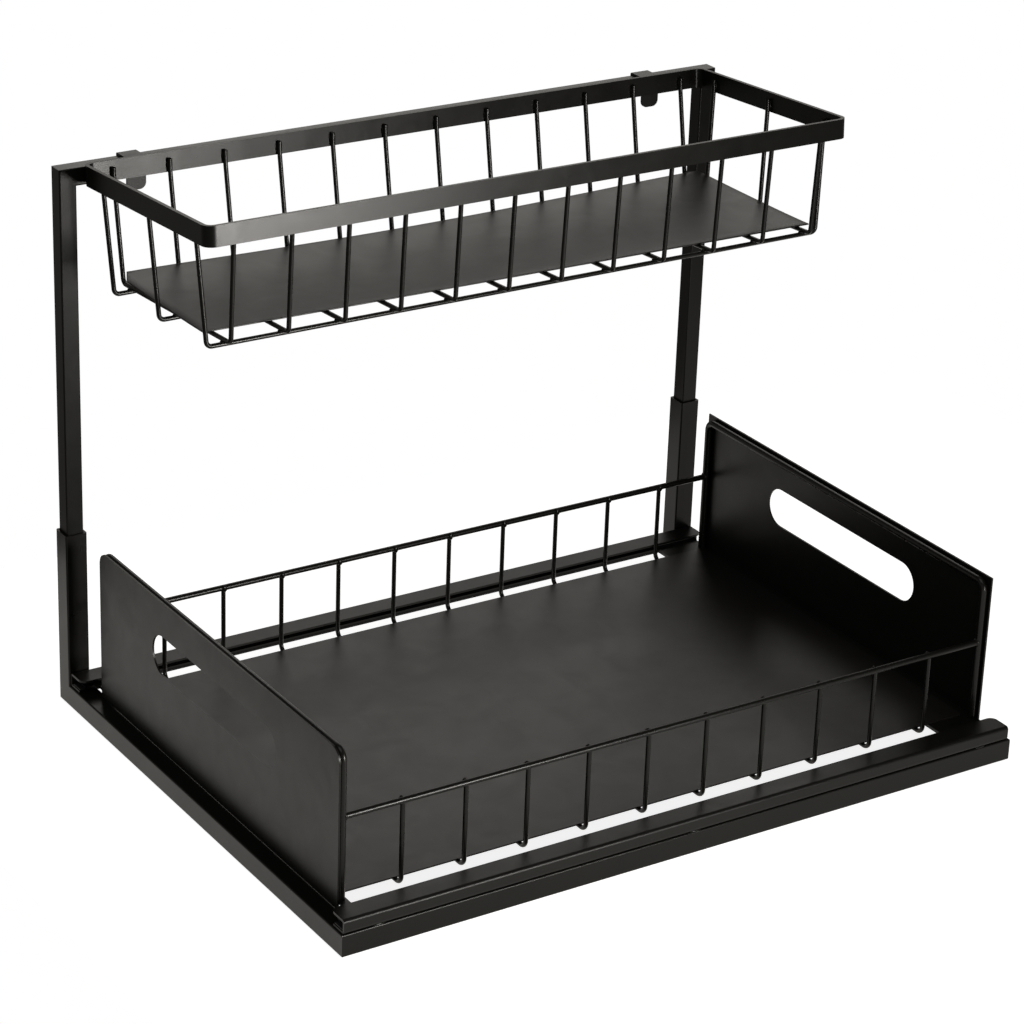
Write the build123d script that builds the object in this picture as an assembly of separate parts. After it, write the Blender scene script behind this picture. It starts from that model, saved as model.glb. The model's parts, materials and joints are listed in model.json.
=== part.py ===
from build123d import *
import math
import os

# Under sink organizer in black coated steel: a welded base of square tube carries two slide tracks, a tray
# pulls out along them, and a tube frame plugged into the base carries a wire basket on two hook clips.
# X runs along the long side and the tray pulls out towards -X. Y runs from the front to the back.
# Z = 0 is the surface that the base stands on, and the origin is the middle of the base there.

# Base frame
base_length = 400.0
base_depth = 300.0
base_tube = 12.0
base_wall = 1.0
base_edge_radius = 0.9
sleeve_height = 98.0

# Upper frame
frame_height = 295.4
sleeve_gap = 0.3
upright_wall = 0.8
upright_edge_radius = 0.8

# Slide tracks, folded from one strip each
track_height = 7.6
track_cover_depth = 13.0
track_foot_depth = 10.0
track_sheet = 1.2
track_bend_radius = 1.8
track_corner_radius = 4.0
track_mouth_inset = 1.0
track_far_inset = 2.0
track_end_depth = 8.5
stop_lug_length = 6.0
stop_lug_width = 6.0
mouth_pad_length = 30.0
mouth_pad_inset = 0.5
mouth_pad_edge = 0.4

# Runners, shoes and the plates that join them to the tray
tray_travel = 260.0
stop_gap = 0.5
glide_gap = 0.15
runner_sheet = 1.2
runner_width = 8.8
runner_leg = 3.8
runner_side_gap = 1.0
runner_rise = 0.8
runner_mouth_inset = 3.0
runner_end_gap = 0.5
shoe_inset = 1.0
carrier_sheet = 1.6
carrier_wire_gap = 6.0
bracket_length = 30.0
bracket_neck_margin = 0.6
bracket_neck_step = 3.0
bracket_overrun = 2.7

# Tray
tray_near_inset = 9.0
tray_far_inset = 5.5
tray_side_gap = 7.3
panel_sheet = 1.0
panel_foot_gap = 0.8
panel_height = 83.7
far_panel_margin = 1.2
loop_wire = 4.0
loop_bend_radius = 5.0
slot_length = 129.0
slot_height = 22.0
slot_drop = 29.7
rail_wire = 3.2
rail_drop = 36.0
tray_wire = 2.4
tray_wire_pitch = 34.9
tray_wire_bend_radius = 4.0
tray_liner_sheet = 0.8
tray_liner_end_gap = 1.0
tray_liner_side_gap = 0.2
tray_liner_corner = 1.5

# Basket
basket_left_inset = 13.0
basket_right_inset = 12.4
basket_depth = 132.0
basket_height = 61.8
basket_tilt = 3.5
rim_height = 10.5
rim_sheet = 2.0
rim_corner_radius = 5.5
rim_rise = 2.3
basket_wire = 2.4
basket_wire_pitch = 31.2
basket_wire_drop = 3.5
basket_side_taper = 6.0
basket_end_taper = 3.5
basket_wire_bend_radius = 3.0
basket_wire_top_bend_radius = 12.0
long_wire_inset = 5.0
long_wire_bend_radius = 3.0
basket_liner_sheet = 0.8
basket_liner_side_gap = 1.2
basket_liner_front_gap = 7.0
basket_liner_cut_width = 6.0
basket_liner_cut_depth = 12.0

# Hook clips that hold the basket on the top bar
clip_sheet = 1.2
clip_width = 10.6
clip_gap = 0.1
left_clip_inset = 30.0
right_clip_inset = 33.3
clip_tongue = 17.0
clip_back_leg = 13.0
clip_tip_radius = 3.5

# Places that follow from the sizes above
left = -base_length / 2
right = base_length / 2
front = -base_depth / 2
back = base_depth / 2
tray_mid_y = front + (base_depth - base_tube) / 2
mirror_plane = Plane(origin=(0, tray_mid_y, 0), z_dir=(0, 1, 0))
upright_tube = base_tube - (base_wall + sleeve_gap) * 2

track_floor = base_tube + track_sheet
track_ceiling = base_tube + track_height - track_sheet
track_mouth = left + track_mouth_inset
track_far = right - track_far_inset
track_web = front + track_sheet

runner_low = track_floor + runner_rise
runner_outer = track_web + runner_side_gap
runner_inner = runner_outer + runner_width
carrier_low = runner_low + runner_sheet
carrier_high = carrier_low + carrier_sheet
runner_end = track_far - track_sheet - runner_end_gap

panel_foot = base_tube + panel_foot_gap
loop_top = panel_foot + panel_height
rail_height = loop_top - rail_drop
loop_depth = base_depth - base_tube - (track_cover_depth + tray_side_gap) * 2
tray_near = left + tray_near_inset
tray_far = right - tray_far_inset
tray_mid_x = (tray_near + tray_far) / 2
near_loop_x = tray_near + panel_sheet + loop_wire / 2
far_loop_x = tray_far - panel_sheet - loop_wire / 2
tray_wire_count = int((far_loop_x - near_loop_x) / tray_wire_pitch)
tray_wire_span = (tray_wire_count - 1) * tray_wire_pitch
loop_front = tray_mid_y - loop_depth / 2 + loop_wire / 2
loop_back = tray_mid_y + loop_depth / 2 - loop_wire / 2
loop_high = loop_top - loop_wire / 2
tray_wire_low = carrier_high - tray_wire / 2
carrier_end = tray_far - panel_sheet
carrier_start = tray_mid_x + tray_wire_span / 2 + tray_wire / 2 + carrier_wire_gap
shoe_start = carrier_start + shoe_inset
shoe_end = carrier_end - shoe_inset

tube_gap = base_wall + sleeve_gap
bar_front = back - base_tube + tube_gap
bar_back = back - tube_gap
rim_back = bar_front - clip_gap - clip_sheet
rim_front = rim_back - basket_depth
rim_mid_y = (rim_front + rim_back) / 2
rim_top = frame_height + rim_rise
rim_low = rim_top - rim_height
rim_left = left + basket_left_inset
rim_right = right - basket_right_inset
basket_length = rim_right - rim_left
basket_mid_x = (rim_left + rim_right) / 2
basket_wire_count = int(basket_length / basket_wire_pitch)
basket_wire_top = rim_top - basket_wire_drop
basket_wire_floor = rim_top - basket_height
basket_floor = basket_wire_floor + basket_wire / 2
hang_height = frame_height + clip_gap * 2


def block(x0, x1, y0, y1, z0, z1):
    return Pos((x0 + x1) / 2, (y0 + y1) / 2, (z0 + z1) / 2) * Box(x1 - x0, y1 - y0, z1 - z0)


def plan_prism(points, low, high):
    # A prism over a corner list in X and Y
    return extrude(Plane.XY.offset(low) * make_face(Polyline(*points, close=True)), high - low)


def side_prism(points, x0, x1):
    # A prism along X over a corner list in Y and Z
    return extrude(Plane.YZ.offset(x0) * make_face(Polyline(*points, close=True)), x1 - x0)


def face_prism(points, y0, y1):
    # A prism along Y over a corner list in X and Z
    face = make_face(Polyline(*[(x, y0, z) for x, z in points], close=True))
    return extrude(face, y1 - y0, dir=(0, 1, 0))


def square_tube(side, wall, edge_radius, length, start, direction):
    # A square tube whose axis begins at start
    across = (0, 0, 1) if direction[2] == 0 else (0, 1, 0)
    plane = Plane(origin=start, z_dir=direction, x_dir=across)
    section = RectangleRounded(side, side, edge_radius) - Rectangle(side - wall * 2, side - wall * 2)
    return extrude(plane * section, length)


def wire(points, radii, diameter):
    # A round wire along straight runs with a bend at each inner point
    path = FilletPolyline(*points, radius=radii)
    section = Plane(origin=path @ 0, z_dir=path % 0) * Circle(diameter / 2)
    return sweep(section, path=path)


def mirrored(part):
    # The same piece for the rear track
    return mirror(part, about=mirror_plane)


def group(parts):
    return Compound(children=[solid for part in parts for solid in part.solids()])


def save(name, part):
    export_step(part, "parts/" + name + ".step")


def base_frame():
    mid = base_tube / 2
    tube = (base_tube, base_wall, base_edge_radius)
    front_tube = square_tube(*tube, base_length, (left, front + mid, mid), (1, 0, 0))
    corners = [(left, front), (right, front), (right - base_tube, front + base_tube),
               (left + base_tube, front + base_tube)]
    save("front_lower_tube", front_tube & plan_prism(corners, 0, base_tube))

    for name, side, inward in (("left", left, 1), ("right", right, -1)):
        x = side + inward * mid
        inner = side + inward * base_tube
        bar = square_tube(*tube, base_depth, (x, front, mid), (0, 1, 0))
        plan = [(side, front), (inner, front + base_tube), (inner, back), (side, back)]
        profile = [(front, 0), (back, 0), (back - base_tube, base_tube), (front, base_tube)]
        bar = bar & plan_prism(plan, 0, base_tube) & side_prism(profile, left, right)
        save(name + "_base_bar", bar)

        sleeve = square_tube(*tube, sleeve_height, (x, back - mid, 0), (0, 0, 1))
        inner = back - base_tube
        profile = [(back, 0), (back, sleeve_height), (inner, sleeve_height), (inner, base_tube)]
        save(name + "_sleeve", sleeve & side_prism(profile, left, right))


def upper_frame():
    mid = base_tube / 2
    tube = (upright_tube, upright_wall, upright_edge_radius)
    outer = left + tube_gap
    inner = outer + upright_tube
    low = base_wall
    under = frame_height - upright_tube
    for name, turn in (("left", 1), ("right", -1)):
        start = (turn * (left + mid), back - mid, low)
        upright = square_tube(*tube, frame_height - low, start, (0, 0, 1))
        outline = [(outer, low), (outer, frame_height), (inner, under), (inner, low)]
        profile = [(turn * x, z) for x, z in outline]
        save(name + "_upright", upright & face_prism(profile, bar_front, bar_back))
    start = (outer, back - mid, frame_height - upright_tube / 2)
    bar = square_tube(*tube, -outer - outer, start, (1, 0, 0))
    profile = [(outer, frame_height), (-outer, frame_height), (-inner, under), (inner, under)]
    save("top_bar", bar & face_prism(profile, bar_front, bar_back))


def track():
    # A C section open towards the tray, closed at the far end, with a stop lug pressed down from its cover
    top = base_tube + track_height
    cover_edge = front + track_cover_depth
    foot_edge = front + track_foot_depth
    end_edge = front + track_end_depth
    outline = [
        (front, base_tube), (foot_edge, base_tube), (foot_edge, track_floor), (track_web, track_floor),
        (track_web, track_ceiling), (cover_edge, track_ceiling), (cover_edge, top), (front, top),
    ]
    channel = side_prism(outline, track_mouth, track_far)
    bends = channel.edges().filter_by(Axis.X)
    channel = fillet(bends.group_by(Axis.Y)[0], track_bend_radius)
    inner_bends = [edge for edge in channel.edges().filter_by(Axis.X)
                   if abs(edge.center().Y - track_web) < stop_gap
                   and track_floor <= edge.center().Z <= track_ceiling]
    channel = fillet(inner_bends, track_bend_radius - track_sheet)
    cover_corners = [edge for edge in channel.edges().filter_by(Axis.Z)
                     if abs(edge.center().Y - cover_edge) < stop_gap and edge.center().Z > track_ceiling]
    channel = fillet(cover_corners, track_corner_radius)
    end = block(track_far - track_sheet, track_far, track_web, end_edge, track_floor, track_ceiling)
    lug_end = shoe_start - tray_travel - stop_gap
    lug_start = lug_end - stop_lug_length
    lug_y = runner_outer + runner_sheet + runner_side_gap
    lug_low = carrier_high + glide_gap
    lug = block(lug_start, lug_end, lug_y, lug_y + stop_lug_width, lug_low, track_ceiling)
    return channel + end + lug


def mouth_pad():
    start = track_mouth + mouth_pad_inset
    edge = front + track_foot_depth - mouth_pad_edge
    return block(start, start + mouth_pad_length, runner_outer, edge, track_floor, runner_low - glide_gap)


def slides():
    channel = track()
    save("front_track", channel)
    save("rear_track", mirrored(channel))
    pad = mouth_pad()
    save("track_mouth_pads", group([pad, mirrored(pad)]))

    start = left + track_mouth_inset + runner_mouth_inset
    edge = runner_outer + runner_sheet
    flat = block(start, runner_end, runner_outer, runner_inner, runner_low, carrier_low)
    leg = block(start, runner_end, runner_outer, edge, runner_low, runner_low + runner_leg)
    runner = flat + leg
    save("front_runner", runner)
    save("rear_runner", mirrored(runner))

    carrier = block(carrier_start, carrier_end, edge, tray_mid_y * 2 - edge, carrier_low, carrier_high)
    save("tray_carrier_plate", carrier)

    shoe = block(shoe_start, shoe_end, track_web + glide_gap, runner_inner,
                 track_floor + glide_gap, track_ceiling - glide_gap)
    shoe = fillet(shoe.edges().filter_by(Axis.X).group_by(Axis.Y)[0], track_bend_radius - track_sheet)
    shoe = shoe - runner - carrier
    save("runner_shoes", group([shoe, mirrored(shoe)]))

    neck_y = front + track_cover_depth + bracket_neck_step
    neck_reach = loop_front + loop_wire / 2 + bracket_overrun
    wide = block(tray_near, tray_near + bracket_length, edge, neck_y, carrier_low, carrier_high)
    neck_start = tray_near + panel_sheet
    neck_end = neck_start + loop_wire + bracket_neck_margin
    neck = block(neck_start, neck_end, neck_y, neck_reach, carrier_low, carrier_high)
    bracket = wide + neck
    save("pull_end_brackets", group([bracket, mirrored(bracket)]))


def panel(x0, depth, top, corner_radius):
    # An end sheet with a stadium handle slot
    y0 = tray_mid_y - depth / 2
    sheet = block(x0, x0 + panel_sheet, y0, y0 + depth, panel_foot, top)
    if corner_radius > 0:
        upper = sheet.edges().filter_by(Axis.X).group_by(Axis.Z)[-1]
        sheet = fillet(upper, corner_radius)
    slot_plane = Plane(origin=(x0, tray_mid_y, loop_top - slot_drop), z_dir=(1, 0, 0), x_dir=(0, 1, 0))
    return sheet - extrude(slot_plane * SlotOverall(slot_length, slot_height), panel_sheet)


def tray():
    save("tray_left_panel", panel(tray_near, loop_depth, loop_top, loop_bend_radius + loop_wire / 2))
    far_depth = loop_depth + far_panel_margin * 2
    save("tray_right_panel", panel(tray_far - panel_sheet, far_depth, loop_top + far_panel_margin, 0))

    loops = []
    for name, x in (("left", near_loop_x), ("right", far_loop_x)):
        corners = [(x, loop_front, carrier_high), (x, loop_front, loop_high), (x, loop_back, loop_high),
                   (x, loop_back, carrier_high)]
        loop = wire(corners, loop_bend_radius, loop_wire)
        loops.append(loop)
        save("tray_" + name + "_loop", loop)

    rails = []
    for name, y in (("front", loop_front), ("rear", loop_back)):
        plane = Plane(origin=(near_loop_x, y, rail_height), z_dir=(1, 0, 0))
        rail = extrude(plane * Circle(rail_wire / 2), far_loop_x - near_loop_x)
        for loop in loops:
            rail = rail - loop
        rails.append(rail)
        save("tray_" + name + "_rail", rail)

    cross_wires = []
    for index in range(tray_wire_count):
        x = tray_mid_x - tray_wire_span / 2 + index * tray_wire_pitch
        corners = [(x, loop_front, rail_height), (x, loop_front, tray_wire_low),
                   (x, loop_back, tray_wire_low), (x, loop_back, rail_height)]
        cross_wires.append(wire(corners, tray_wire_bend_radius, tray_wire) - rails[0] - rails[1])
    save("tray_cross_wires", group(cross_wires))

    start = near_loop_x + loop_wire / 2 + tray_liner_end_gap
    end = far_loop_x - loop_wire / 2 - tray_liner_end_gap
    side = (loop_back - loop_front) / 2 - tray_wire_bend_radius - tray_liner_side_gap
    high = carrier_high + tray_liner_sheet
    liner = block(start, end, tray_mid_y - side, tray_mid_y + side, carrier_high, high)
    save("tray_liner", fillet(liner.edges().filter_by(Axis.Z), tray_liner_corner))


def hung(part):
    # The basket is modelled level and hangs with its front a little higher than its back
    return part.rotate(Axis((0, rim_back, hang_height), (1, 0, 0)), -basket_tilt)


def basket_rim():
    outer = RectangleRounded(basket_length, basket_depth, rim_corner_radius)
    hole = offset(outer, -rim_sheet)
    return extrude(Plane(origin=(basket_mid_x, rim_mid_y, rim_low)) * (outer - hole), rim_height)


def basket_wires():
    # Cross wires hang inside the front and rear of the rim, long wires inside its two ends
    half = basket_depth / 2 - rim_sheet - basket_wire / 2
    low_half = half - basket_side_taper
    radii = [basket_wire_top_bend_radius, basket_wire_bend_radius]
    cross = []
    for index in range(basket_wire_count):
        x = basket_mid_x + (index - (basket_wire_count - 1) / 2) * basket_wire_pitch
        outline = [(-half, basket_wire_top), (-half, rim_low), (-low_half, basket_wire_floor),
                   (low_half, basket_wire_floor), (half, rim_low), (half, basket_wire_top)]
        cross.append(wire([(x, rim_mid_y + y, z) for y, z in outline], radii + radii[::-1], basket_wire))

    # The long wires cross under the flat runs of the cross wires
    lean = math.atan2(basket_side_taper, rim_low - basket_wire_floor)
    bend_y = low_half - basket_wire_bend_radius * math.tan((math.pi / 2 - lean) / 2)
    long_y = bend_y - long_wire_inset
    low = basket_wire_floor - basket_wire
    end = basket_length / 2 - rim_sheet - basket_wire / 2
    low_end = end - basket_end_taper
    radii = [basket_wire_top_bend_radius, long_wire_bend_radius]
    long = []
    for y in (-long_y, 0, long_y):
        outline = [(-end, basket_wire_top), (-end, rim_low), (-low_end, low),
                   (low_end, low), (end, rim_low), (end, basket_wire_top)]
        corners = [(basket_mid_x + x, rim_mid_y + y, z) for x, z in outline]
        long.append(wire(corners, radii + radii[::-1], basket_wire))
    return cross, long, bend_y


def rim_weld(start, end):
    # The filled gap between an upright clip and the leaning back of the rim
    tilt = math.radians(basket_tilt)
    low = hang_height - (hang_height - rim_low) * math.cos(tilt)
    lean = (hang_height - low) * math.tan(tilt)
    return side_prism([(rim_back, hang_height), (rim_back, low), (rim_back - lean, low)], start, end)


def hook_clip(x):
    # A strip that rises behind the rim, crosses the top bar and turns down behind it
    start, end = x - clip_width / 2, x + clip_width / 2
    front_y = rim_back
    back_y = bar_back + clip_gap
    top = frame_height + clip_gap + clip_sheet
    tongue = block(start, end, front_y, front_y + clip_sheet, top - clip_tongue, top)
    tongue = fillet(tongue.edges().filter_by(Axis.Y).group_by(Axis.Z)[0], clip_tip_radius)
    over = block(start, end, front_y + clip_sheet, back_y, top - clip_sheet, top)
    leg = block(start, end, back_y, back_y + clip_sheet, top - clip_back_leg, top)
    clip = tongue + over + leg
    bends = [edge for edge in clip.edges().filter_by(Axis.X) if edge.center().Z > top - clip_gap]
    return fillet(bends, clip_sheet - clip_gap) + rim_weld(start, end)


def basket():
    save("basket_rim", hung(basket_rim()))
    cross, long, bend_y = basket_wires()
    save("basket_cross_wires", group([hung(wire) for wire in cross]))
    save("basket_long_wires", group([hung(wire) for wire in long]))
    save("left_hook_clip", hook_clip(rim_left + left_clip_inset))
    save("right_hook_clip", hook_clip(rim_right - right_clip_inset))

    half = basket_length / 2 - rim_sheet - basket_wire - basket_end_taper - basket_liner_side_gap
    start, end = basket_mid_x - half, basket_mid_x + half
    near, far = rim_mid_y - bend_y + basket_liner_front_gap, rim_mid_y + bend_y
    corners = [(start, near), (end, near), (end, far), (start + basket_liner_cut_width, far),
               (start, far - basket_liner_cut_depth)]
    save("basket_liner", hung(plan_prism(corners, basket_floor, basket_floor + basket_liner_sheet)))


os.makedirs("parts", exist_ok=True)
base_frame()
upper_frame()
slides()
tray()
basket()
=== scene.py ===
import json
import math
import random
from itertools import count

import bmesh
import bpy
from mathutils import Matrix, Vector, noise


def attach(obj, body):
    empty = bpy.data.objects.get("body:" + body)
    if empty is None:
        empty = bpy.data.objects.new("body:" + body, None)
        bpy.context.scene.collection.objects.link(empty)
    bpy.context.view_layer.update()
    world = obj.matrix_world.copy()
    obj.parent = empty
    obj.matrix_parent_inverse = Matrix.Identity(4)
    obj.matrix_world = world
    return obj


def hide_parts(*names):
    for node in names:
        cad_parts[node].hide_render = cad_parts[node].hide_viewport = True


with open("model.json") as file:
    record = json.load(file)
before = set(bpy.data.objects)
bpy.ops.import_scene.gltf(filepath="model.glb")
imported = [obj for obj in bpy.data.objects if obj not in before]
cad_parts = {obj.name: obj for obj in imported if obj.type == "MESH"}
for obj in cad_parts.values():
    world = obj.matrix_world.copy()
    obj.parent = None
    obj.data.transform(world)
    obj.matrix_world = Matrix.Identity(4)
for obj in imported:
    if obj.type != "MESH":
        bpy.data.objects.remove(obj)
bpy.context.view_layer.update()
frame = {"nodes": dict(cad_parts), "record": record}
nodes = frame["nodes"]

mm = 0.001
xAxis, yAxis, zAxis = Vector((1, 0, 0)), Vector((0, 1, 0)), Vector((0, 0, 1))

# the black powder coats, with the detail that each one shows
coatSpecs = {
    "frame_coat": {
        "specular": 0.15,
        "detail": {"Colour": (0.0027, 0.0026, 0.0020, 1), "Roughness": 0.30, "Spread": 0.07,
                   "Peel": 0.30, "Grain": 0.16, "Specks": 0.35},
    },
    "sheet_coat": {
        "specular": 0.17,
        "detail": {"Colour": (0.0026, 0.0025, 0.0019, 1), "Roughness": 0.36, "Spread": 0.08,
                   "Peel": 0.22, "Grain": 0.20, "Specks": 0.45},
    },
    "liner_coat": {
        "specular": 0.28,
        "detail": {"Colour": (0.0034, 0.0030, 0.0025, 1), "Roughness": 0.42, "Spread": 0.06,
                   "Peel": 0.12, "Grain": 0.26, "Specks": 0.55},
    },
    "wire_coat": {
        "specular": 0.18,
        "detail": {"Colour": (0.0026, 0.0025, 0.0019, 1), "Roughness": 0.28, "Spread": 0.06,
                   "Peel": 0.34, "Grain": 0.10, "Specks": 0.20},
    },
}

# textures of the powder coats; their scales are in waves per metre
powderSpec = {
    "cloud": {"Scale": 14.0, "Detail": 4.0, "Roughness": 0.55},
    "smear": {"Scale": 55.0, "Detail": 3.0, "Roughness": 0.6, "Distortion": 0.8},
    "peel": {"Scale": 620.0, "Detail": 1.5, "Roughness": 0.45},
    "grain": {"Scale": 3600.0, "Detail": 1.0, "Roughness": 0.5},
    "cells": {"Scale": 900.0, "Randomness": 1.0},
    "tone": {"From Min": 0.3, "From Max": 0.7, "To Min": 0.82, "To Max": 1.2},
    "speckEdge": {"From Min": 0.05, "From Max": 0.16, "To Min": 1.0, "To Max": 0.0},
    "speckRarity": 0.93,  # the share of the cells that hold no speck
    "speckColour": (0.06, 0.058, 0.052, 1),
    "peelDepth": 0.00002,
    "grainDepth": 0.000006,
}

nylonSpec = {
    "specular": 0.45,
    "detail": {"Colour": (0.012, 0.012, 0.012, 1), "Roughness": 0.52},
    "flow": {"Scale": 70.0, "Distortion": 6.0, "Detail": 2.0, "Detail Scale": 2.0},
    "pits": {"Scale": 2400.0, "Detail": 2.0, "Roughness": 0.6},
    "tone": {"To Min": 0.85, "To Max": 1.25},
    "shift": {"To Min": -0.05, "To Max": 0.06},
    "bump": {"Strength": 0.3, "Distance": 0.00003},
}

detailOutputs = {"Colour": "NodeSocketColor", "Roughness": "NodeSocketFloat", "Normal": "NodeSocketVector"}
mixSockets = {"factor": 0, "first": 6, "second": 7, "result": 2}  # the Mix node's sockets for colours


def addNode(tree, kind, settings=None, inputs=None):
    made = tree.nodes.new(kind)
    for key, value in (settings or {}).items():
        setattr(made, key, value)
    for key, value in (inputs or {}).items():
        if isinstance(value, bpy.types.NodeSocket):
            tree.links.new(value, made.inputs[key])
        else:
            made.inputs[key].default_value = value
    return made


def addMath(tree, operation, *terms, clamp=False):
    settings = {"operation": operation, "use_clamp": clamp}
    return addNode(tree, "ShaderNodeMath", settings, dict(enumerate(terms))).outputs["Value"]


def addRange(tree, value, limits):
    return addNode(tree, "ShaderNodeMapRange", None, {"Value": value, **limits}).outputs["Result"]


def addScaled(tree, colour, scale):
    scaled = addNode(tree, "ShaderNodeVectorMath", {"operation": "SCALE"}, {0: colour, "Scale": scale})
    return scaled.outputs["Vector"]


def addColourMix(tree, factor, first, second):
    given = {mixSockets["factor"]: factor, mixSockets["first"]: first, mixSockets["second"]: second}
    mix = addNode(tree, "ShaderNodeMix", {"data_type": "RGBA", "blend_type": "MIX"}, given)
    return mix.outputs[mixSockets["result"]]


def newDetailGroup(name, defaults):
    group = bpy.data.node_groups.new(name, "ShaderNodeTree")
    for socket, value in defaults.items():
        kind = "NodeSocketFloat" if isinstance(value, float) else "NodeSocketColor"
        group.interface.new_socket(name=socket, in_out="INPUT", socket_type=kind).default_value = value
    for socket, kind in detailOutputs.items():
        group.interface.new_socket(name=socket, in_out="OUTPUT", socket_type=kind)
    return group, group.nodes.new("NodeGroupInput").outputs


def powderGroup():
    spec = powderSpec
    group, given = newDetailGroup("powderCoatDetail", coatSpecs["frame_coat"]["detail"])
    place = addNode(group, "ShaderNodeTexCoord").outputs["Object"]
    cloud, smear, peel, grain = (
        addNode(group, "ShaderNodeTexNoise", None, {"Vector": place, **spec[key]}).outputs["Fac"]
        for key in ("cloud", "smear", "peel", "grain")
    )
    cells = addNode(group, "ShaderNodeTexVoronoi", None, {"Vector": place, **spec["cells"]}).outputs

    # a cloudy tone with a few pale specks of dust
    tinted = addScaled(group, given["Colour"], addRange(group, cloud, spec["tone"]))
    picked = addNode(group, "ShaderNodeSeparateColor", None, {"Color": cells["Color"]}).outputs["Red"]
    chosen = addMath(group, "GREATER_THAN", picked, spec["speckRarity"])
    dot = addMath(group, "MULTIPLY", addRange(group, cells["Distance"], spec["speckEdge"]), chosen)
    speck = addMath(group, "MULTIPLY", dot, given["Specks"], clamp=True)

    # smears move the roughness up and down by the spread
    swing = addMath(group, "MULTIPLY_ADD", smear, 2.0, -1.0)
    rough = addMath(group, "MULTIPLY_ADD", swing, given["Spread"], given["Roughness"], clamp=True)

    # fine grain on top of the orange peel
    peelBump = addNode(group, "ShaderNodeBump", None, {
        "Strength": given["Peel"], "Distance": spec["peelDepth"], "Height": peel,
    })
    grainBump = addNode(group, "ShaderNodeBump", None, {
        "Strength": given["Grain"], "Distance": spec["grainDepth"], "Height": grain,
        "Normal": peelBump.outputs["Normal"],
    })
    addNode(group, "NodeGroupOutput", None, {
        "Colour": addColourMix(group, speck, tinted, spec["speckColour"]),
        "Roughness": rough,
        "Normal": grainBump.outputs["Normal"],
    })
    return group


def nylonGroup():
    spec = nylonSpec
    group, given = newDetailGroup("mouldedNylonDetail", spec["detail"])
    place = addNode(group, "ShaderNodeTexCoord").outputs["Object"]
    bands = {"wave_type": "BANDS", "bands_direction": "X"}
    flow = addNode(group, "ShaderNodeTexWave", bands, {"Vector": place, **spec["flow"]}).outputs["Fac"]
    pits = addNode(group, "ShaderNodeTexNoise", None, {"Vector": place, **spec["pits"]}).outputs["Fac"]
    shift = addRange(group, pits, spec["shift"])
    bump = addNode(group, "ShaderNodeBump", None, {"Height": pits, **spec["bump"]})
    addNode(group, "NodeGroupOutput", None, {
        "Colour": addScaled(group, given["Colour"], addRange(group, flow, spec["tone"])),
        "Roughness": addMath(group, "ADD", given["Roughness"], shift, clamp=True),
        "Normal": bump.outputs["Normal"],
    })
    return group


def coatMaterial(name, group, spec):
    material = bpy.data.materials.new(name)
    material.use_nodes = True
    material.diffuse_color = spec["detail"]["Colour"]
    tree = material.node_tree
    tree.nodes.clear()
    detail = addNode(tree, "ShaderNodeGroup", {"node_tree": group}, spec["detail"]).outputs
    shader = addNode(tree, "ShaderNodeBsdfPrincipled", None, {
        "Base Color": detail["Colour"],
        "Roughness": detail["Roughness"],
        "Normal": detail["Normal"],
        "Metallic": 0.0,
        "Specular IOR Level": spec["specular"],
        "IOR": 1.5,
    })
    addNode(tree, "ShaderNodeOutputMaterial", None, {"Surface": shader.outputs["BSDF"]})
    return material


sharedPowder = powderGroup()
coats = {name: coatMaterial("powder_" + name, sharedPowder, spec) for name, spec in coatSpecs.items()}
coats["nylon"] = coatMaterial("moulded_nylon", nylonGroup(), nylonSpec)

slotOf = {part["node"]: part["material_slot"] for part in frame["record"]["subparts"]}
for nodeName, slotName in slotOf.items():
    for materialSlot in nodes[nodeName].material_slots:
        materialSlot.material = coats[slotName]
print("materials", len(coats), "on", len(slotOf), "nodes")


def finishPiece(bm, name, body, slotName):
    mesh = bpy.data.meshes.new(name)
    bm.to_mesh(mesh)
    bm.free()
    mesh.shade_smooth()
    mesh.materials.append(coats[slotName])
    piece = bpy.data.objects.new(name, mesh)
    bpy.context.scene.collection.objects.link(piece)
    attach(piece, body)
    return piece


# one weld bead is a ball of this kind, stretched and made lumpy
beadSpec = {"segments": 10, "rings": 7, "lump": 0.16, "lumpWaves": 1.6, "shiftRange": 50, "firstSeed": 2}
beadSeeds = count(beadSpec["firstSeed"])


def addBead(bm, centre, along, across, radii, lump=beadSpec["lump"]):
    # the radii are along the seam, across it and out of it; like the centre they are in mm
    picker = random.Random(next(beadSeeds))
    shift = Vector([picker.uniform(0, beadSpec["shiftRange"]) for _ in range(3)])
    out = along.cross(across)
    ball = bmesh.ops.create_uvsphere(
        bm, u_segments=beadSpec["segments"], v_segments=beadSpec["rings"], radius=1.0
    )
    for vertex in ball["verts"]:
        unit = vertex.co.copy()
        swell = 1 + lump * noise.noise(unit * beadSpec["lumpWaves"] + shift)
        reach = along * unit.z * radii[0] + across * unit.x * radii[1] + out * unit.y * radii[2]
        vertex.co = mm * (Vector(centre) + swell * reach)


def wirePlaces(spec):
    middle = (spec["wireCount"] - 1) / 2
    return [spec["wireMiddle"] + (i - middle) * spec["wirePitch"] for i in range(spec["wireCount"])]


# the basket hangs from the top bar with its front a little up, so its beads and plate are turned with it
hangSpec = {"tilt": -3.5, "pivot": (0, 138.0, 295.6)}
pivot = mm * Vector(hangSpec["pivot"])
turn = Matrix.Rotation(math.radians(hangSpec["tilt"]), 4, "X")
hang = Matrix.Translation(pivot) @ turn @ Matrix.Translation(-pivot)

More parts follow.
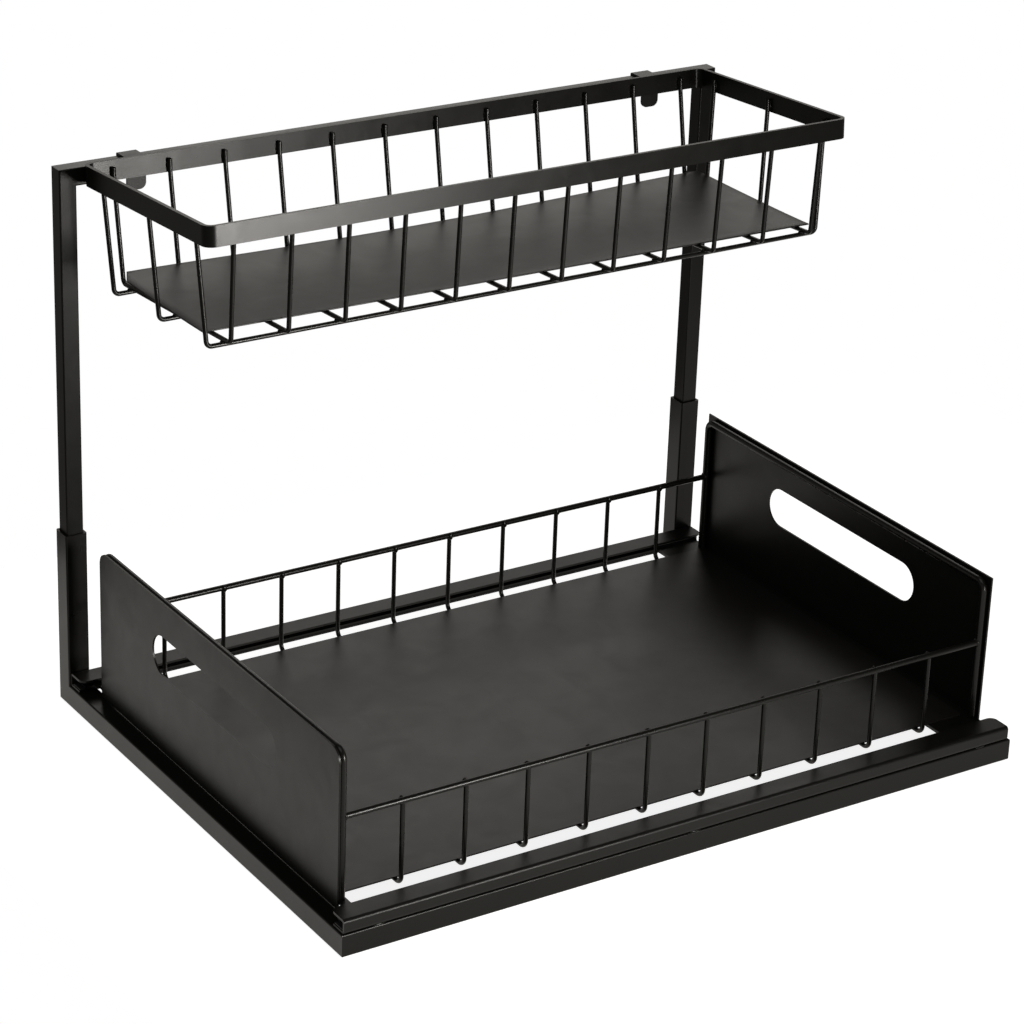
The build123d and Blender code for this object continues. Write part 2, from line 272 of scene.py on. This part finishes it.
basketWeldSpec = {
    "wireMiddle": 0.3,
    "wirePitch": 31.2,
    "wireCount": 12,
    "longWires": (22.87, 72.0, 121.13),
    "rimSides": (8.35, 135.65),
    "rimEnds": (-184.8, 185.4),
    "rimHeight": 290.9,
    "crossingHeight": 234.7,
    "rimBead": (2.9, 1.75, 0.95),
    "crossingBead": (1.7, 1.7, 0.75),
}

spec = basketWeldSpec
bm = bmesh.new()
for x in wirePlaces(spec):
    for y in spec["rimSides"]:
        addBead(bm, (x, y, spec["rimHeight"]), zAxis, xAxis, spec["rimBead"])
    for y in spec["longWires"]:
        addBead(bm, (x, y, spec["crossingHeight"]), xAxis, yAxis, spec["crossingBead"])
for y in spec["longWires"]:
    for x in spec["rimEnds"]:
        addBead(bm, (x, y, spec["rimHeight"]), zAxis, yAxis, spec["rimBead"])
bm.transform(hang)
finishPiece(bm, "basket_weld_spots", "basket", "frame_coat")

trayWeldSpec = {
    "wireMiddle": 1.75,
    "wirePitch": 34.9,
    "wireCount": 10,
    "wireSides": (-126.1, 114.1),
    "rails": (-127.7, 115.7),
    "railEnds": (-186.6, 190.1),
    "railHeight": 60.5,
    "wireBead": (1.9, 1.5, 0.9),
    "railBead": (2.6, 2.2, 1.2),
}

spec = trayWeldSpec
bm = bmesh.new()
for x in wirePlaces(spec):
    for y in spec["wireSides"]:
        addBead(bm, (x, y, spec["railHeight"]), zAxis, xAxis, spec["wireBead"])
for y in spec["rails"]:
    for x in spec["railEnds"]:
        addBead(bm, (x, y, spec["railHeight"]), zAxis, yAxis, spec["railBead"])
finishPiece(bm, "tray_weld_spots", "tray", "wire_coat")

# short tacks hold the front track to the tube under it and the rear track to the bars at its ends
baseWeldSpec = {
    "tubeSpots": (-180.0, 0.0, 180.0),
    "tubeSeam": (-149.1, 12.0),
    "barSpots": (-187.7, 187.7),
    "barSeam": (131.5, 11.9),
    "tack": (3.4, 0.85, 0.85),
    "lump": 0.3,
}

spec = baseWeldSpec
bm = bmesh.new()
for x in spec["tubeSpots"]:
    addBead(bm, (x, *spec["tubeSeam"]), xAxis, zAxis, spec["tack"], spec["lump"])
for x in spec["barSpots"]:
    addBead(bm, (x, *spec["barSeam"]), yAxis, zAxis, spec["tack"], spec["lump"])
finishPiece(bm, "base_tack_welds", "base", "frame_coat")
print("weld spots done")


# sizes in mm, before the basket's tilt; the lifts are shares of "lift", u runs from the left to the right
linerSpec = {
    "ends": (-176.8, 178.4),
    "front": (33.0, 25.0),
    "back": 126.0,
    "top": 237.9,
    "sheet": 0.8,
    "softEdge": 0.22,
    "edgeAngle": 40,
    "cut": (6.0, 12.0),
    "columns": 72,
    "rows": 24,
    "lift": 5.6,
    "liftPower": 1.25,
    "endShare": 0.86,
    "sagShare": 0.42,
    "sagPower": 1.5,
    "sagEnd": 0.94,
    "kickShare": 0.12,
    "kickStart": 0.8,
    "ripple": 0.16,
    "rippleWaves": (3.2, 1.6),
    "rippleSlice": 3.1,
}


def linerRise(u, v):
    spec = linerSpec
    sag = spec["sagShare"] * max(0.0, math.sin(math.pi * min(1.0, u / spec["sagEnd"]))) ** spec["sagPower"]
    kick = spec["kickShare"] * max(0.0, u - spec["kickStart"]) / (1 - spec["kickStart"])
    wavesX, wavesY = spec["rippleWaves"]
    ripple = spec["ripple"] * abs(noise.noise(Vector((u * wavesX, v * wavesY, spec["rippleSlice"])))) * v
    return spec["lift"] * (spec["endShare"] - sag + kick) * v ** spec["liftPower"] + ripple


def looseLiner():
    # a loose plate that has settled with its back edge a little up on the wires
    spec = linerSpec
    (x0, x1), (frontLeft, frontRight), back = spec["ends"], spec["front"], spec["back"]
    bm = bmesh.new()
    bmesh.ops.create_grid(bm, x_segments=spec["columns"], y_segments=spec["rows"], size=0.5)
    for vertex in bm.verts:
        u, v = vertex.co.x + 0.5, vertex.co.y + 0.5
        front = frontLeft + (frontRight - frontLeft) * u
        vertex.co = mm * Vector((x0 + (x1 - x0) * u, front + (back - front) * v, spec["top"] + linerRise(u, v)))
    cutX, cutY = spec["cut"]
    bmesh.ops.bisect_plane(
        bm,
        geom=bm.verts[:] + bm.edges[:] + bm.faces[:],
        plane_co=mm * Vector((x0 + cutX, back, 0)),
        plane_no=Vector((-cutY, cutX, 0)).normalized(),
        clear_outer=True,
    )
    bm.transform(hang)
    piece = finishPiece(bm, "basket_liner_sheet", "basket_plate", "liner_coat")
    sheet = piece.modifiers.new("sheet", "SOLIDIFY")
    sheet.thickness = spec["sheet"] * mm
    sheet.offset = -1.0
    bevel = piece.modifiers.new("softEdges", "BEVEL")
    bevel.width = spec["softEdge"] * mm
    bevel.segments = 2
    bevel.limit_method = "ANGLE"
    bevel.angle_limit = math.radians(spec["edgeAngle"])
    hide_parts("basket_liner")


looseLiner()
print("liner done")


plainWhite = (1, 1, 1, 1)
warmWhite = (1.0, 0.965, 0.90, 1)  # what the coats mirror, while the camera sees plain white


def whiteBackdrop(tree):
    rays = addNode(tree, "ShaderNodeLightPath").outputs
    colour = addColourMix(tree, rays["Is Camera Ray"], warmWhite, plainWhite)
    seenOrMirrored = addMath(tree, "MAXIMUM", rays["Is Camera Ray"], rays["Is Glossy Ray"])
    shown = addMath(tree, "MAXIMUM", seenOrMirrored, rays["Is Transmission Ray"])
    return rays["Is Camera Ray"], colour, shown


worldSpec = {
    "roomColour": (1.0, 0.97, 0.92, 1),
    "roomStrength": 0.26,
    # how bright the mirrored white is, from straight below at 0 to straight above at 1
    "mirrored": (
        (0.0, 0.08), (0.29, 0.19), (0.42, 0.24), (0.49, 0.32),
        (0.54, 0.42), (0.66, 0.46), (0.71, 0.20), (1.0, 0.10),
    ),
}


def studioWorld():
    world = bpy.data.worlds.new("studioWorld")
    bpy.context.scene.world = world
    world.use_nodes = True
    tree = world.node_tree
    tree.nodes.clear()
    cameraRay, colour, shown = whiteBackdrop(tree)
    place = addNode(tree, "ShaderNodeTexCoord").outputs["Generated"]
    high = addNode(tree, "ShaderNodeSeparateXYZ", None, {"Vector": place}).outputs["Z"]
    heightCurve = addNode(tree, "ShaderNodeFloatCurve", None, {
        "Value": addMath(tree, "MULTIPLY_ADD", high, 0.5, 0.5),
    })
    points = heightCurve.mapping.curves[0].points
    lowest, *between, highest = worldSpec["mirrored"]
    points[0].location, points[1].location = lowest, highest
    for spot, level in between:
        points.new(spot, level)
    heightCurve.mapping.update()
    seen = addNode(tree, "ShaderNodeBackground", None, {
        "Color": colour,
        "Strength": addMath(tree, "MAXIMUM", heightCurve.outputs["Value"], cameraRay),
    })
    room = addNode(tree, "ShaderNodeBackground", None, {
        "Color": worldSpec["roomColour"], "Strength": worldSpec["roomStrength"],
    })
    mixed = addNode(tree, "ShaderNodeMixShader", None, {
        0: shown, 1: room.outputs["Background"], 2: seen.outputs["Background"],
    })
    addNode(tree, "ShaderNodeOutputWorld", None, {"Surface": mixed.outputs["Shader"]})


floorSpec = {
    "colour": (0.52, 0.52, 0.52, 1),
    "roughness": 0.3,
    "glow": 0.86,
    "centre": (0.10, -0.15, 0),
    "halfSize": (0.40, 0.46, 1),
}


def studioFloor():
    material = bpy.data.materials.new("paleFloor")
    material.use_nodes = True
    tree = material.node_tree
    tree.nodes.clear()
    _, colour, shown = whiteBackdrop(tree)
    matt = addNode(tree, "ShaderNodeBsdfDiffuse", None, {
        "Color": floorSpec["colour"], "Roughness": floorSpec["roughness"],
    })
    glow = addNode(tree, "ShaderNodeEmission", None, {
        "Color": colour, "Strength": addMath(tree, "MULTIPLY", shown, floorSpec["glow"]),
    })
    both = addNode(tree, "ShaderNodeAddShader", None, {0: matt.outputs["BSDF"], 1: glow.outputs["Emission"]})
    addNode(tree, "ShaderNodeOutputMaterial", None, {"Surface": both.outputs["Shader"]})

    bm = bmesh.new()
    bmesh.ops.create_grid(bm, x_segments=1, y_segments=1, size=1.0)
    bm.transform(Matrix.LocRotScale(Vector(floorSpec["centre"]), None, Vector(floorSpec["halfSize"])))
    mesh = bpy.data.meshes.new("studio_floor")
    bm.to_mesh(mesh)
    bm.free()
    mesh.materials.append(material)
    floor = bpy.data.objects.new("studio_floor", mesh)
    bpy.context.scene.collection.objects.link(floor)


lampSpecs = {
    "frontSoftbox": {
        "place": (0.16, -0.78, 0.19), "target": (-0.16, 0.05, 0.27), "size": (0.22, 0.20),
        "spread": 70.0, "power": 1.8, "colour": (1.0, 0.975, 0.93),
    },
    "topSoftbox": {
        "place": (-0.35, -0.35, 1.75), "target": (0.0, 0.0, 0.1), "size": (1.3, 1.1),
        "spread": 180.0, "power": 8.0, "colour": (1.0, 1.0, 1.0),
    },
    "rearSoftbox": {
        "place": (0.75, 1.25, 1.05), "target": (0.0, 0.0, 0.1), "size": (0.9, 0.7),
        "spread": 180.0, "power": 4.0, "colour": (1.0, 0.97, 0.92),
    },
}


def softbox(name, spec):
    data = bpy.data.lights.new(name, "AREA")
    data.shape = "RECTANGLE"
    data.size, data.size_y = spec["size"]
    data.energy = spec["power"]
    data.color = spec["colour"]
    data.spread = math.radians(spec["spread"])
    lamp = bpy.data.objects.new(name, data)
    place = Vector(spec["place"])
    lamp.location = place
    lamp.rotation_euler = (Vector(spec["target"]) - place).to_track_quat("-Z", "Y").to_euler()
    lamp.visible_camera = False
    bpy.context.scene.collection.objects.link(lamp)


studioWorld()
studioFloor()
for lampName, lampSpec in lampSpecs.items():
    softbox(lampName, lampSpec)
print("studio done")


cameraSpec = {
    "azimuth": -33.3022,
    "elevation": 24.0727,
    "roll": 2.0937,
    "focalPixels": 3377.46,
    "imagePixels": 1024.0,
    "sensor": 36.0,
    "clip": (0.02, 50.0),
    "place": (-0.876183, -1.308801, 0.827483),
}


def placeCamera():
    spec = cameraSpec
    az, el, roll = (math.radians(spec[key]) for key in ("azimuth", "elevation", "roll"))
    back = Vector((math.sin(az) * math.cos(el), -math.cos(az) * math.cos(el), math.sin(el)))
    right = zAxis.cross(back).normalized()
    up = back.cross(right)
    turnedRight = math.cos(roll) * right + math.sin(roll) * up
    turnedUp = -math.sin(roll) * right + math.cos(roll) * up
    data = bpy.data.cameras.new("photoCamera")
    data.sensor_fit = "HORIZONTAL"
    data.sensor_width = spec["sensor"]
    data.lens = spec["focalPixels"] * spec["sensor"] / spec["imagePixels"]
    data.clip_start, data.clip_end = spec["clip"]
    camera = bpy.data.objects.new("photoCamera", data)
    turned = Matrix((turnedRight, turnedUp, back)).transposed().to_4x4()
    camera.matrix_world = Matrix.Translation(spec["place"]) @ turned
    bpy.context.scene.collection.objects.link(camera)
    bpy.context.scene.camera = camera


placeCamera()
bpy.context.scene.view_settings.view_transform = "Standard"
print("camera done")
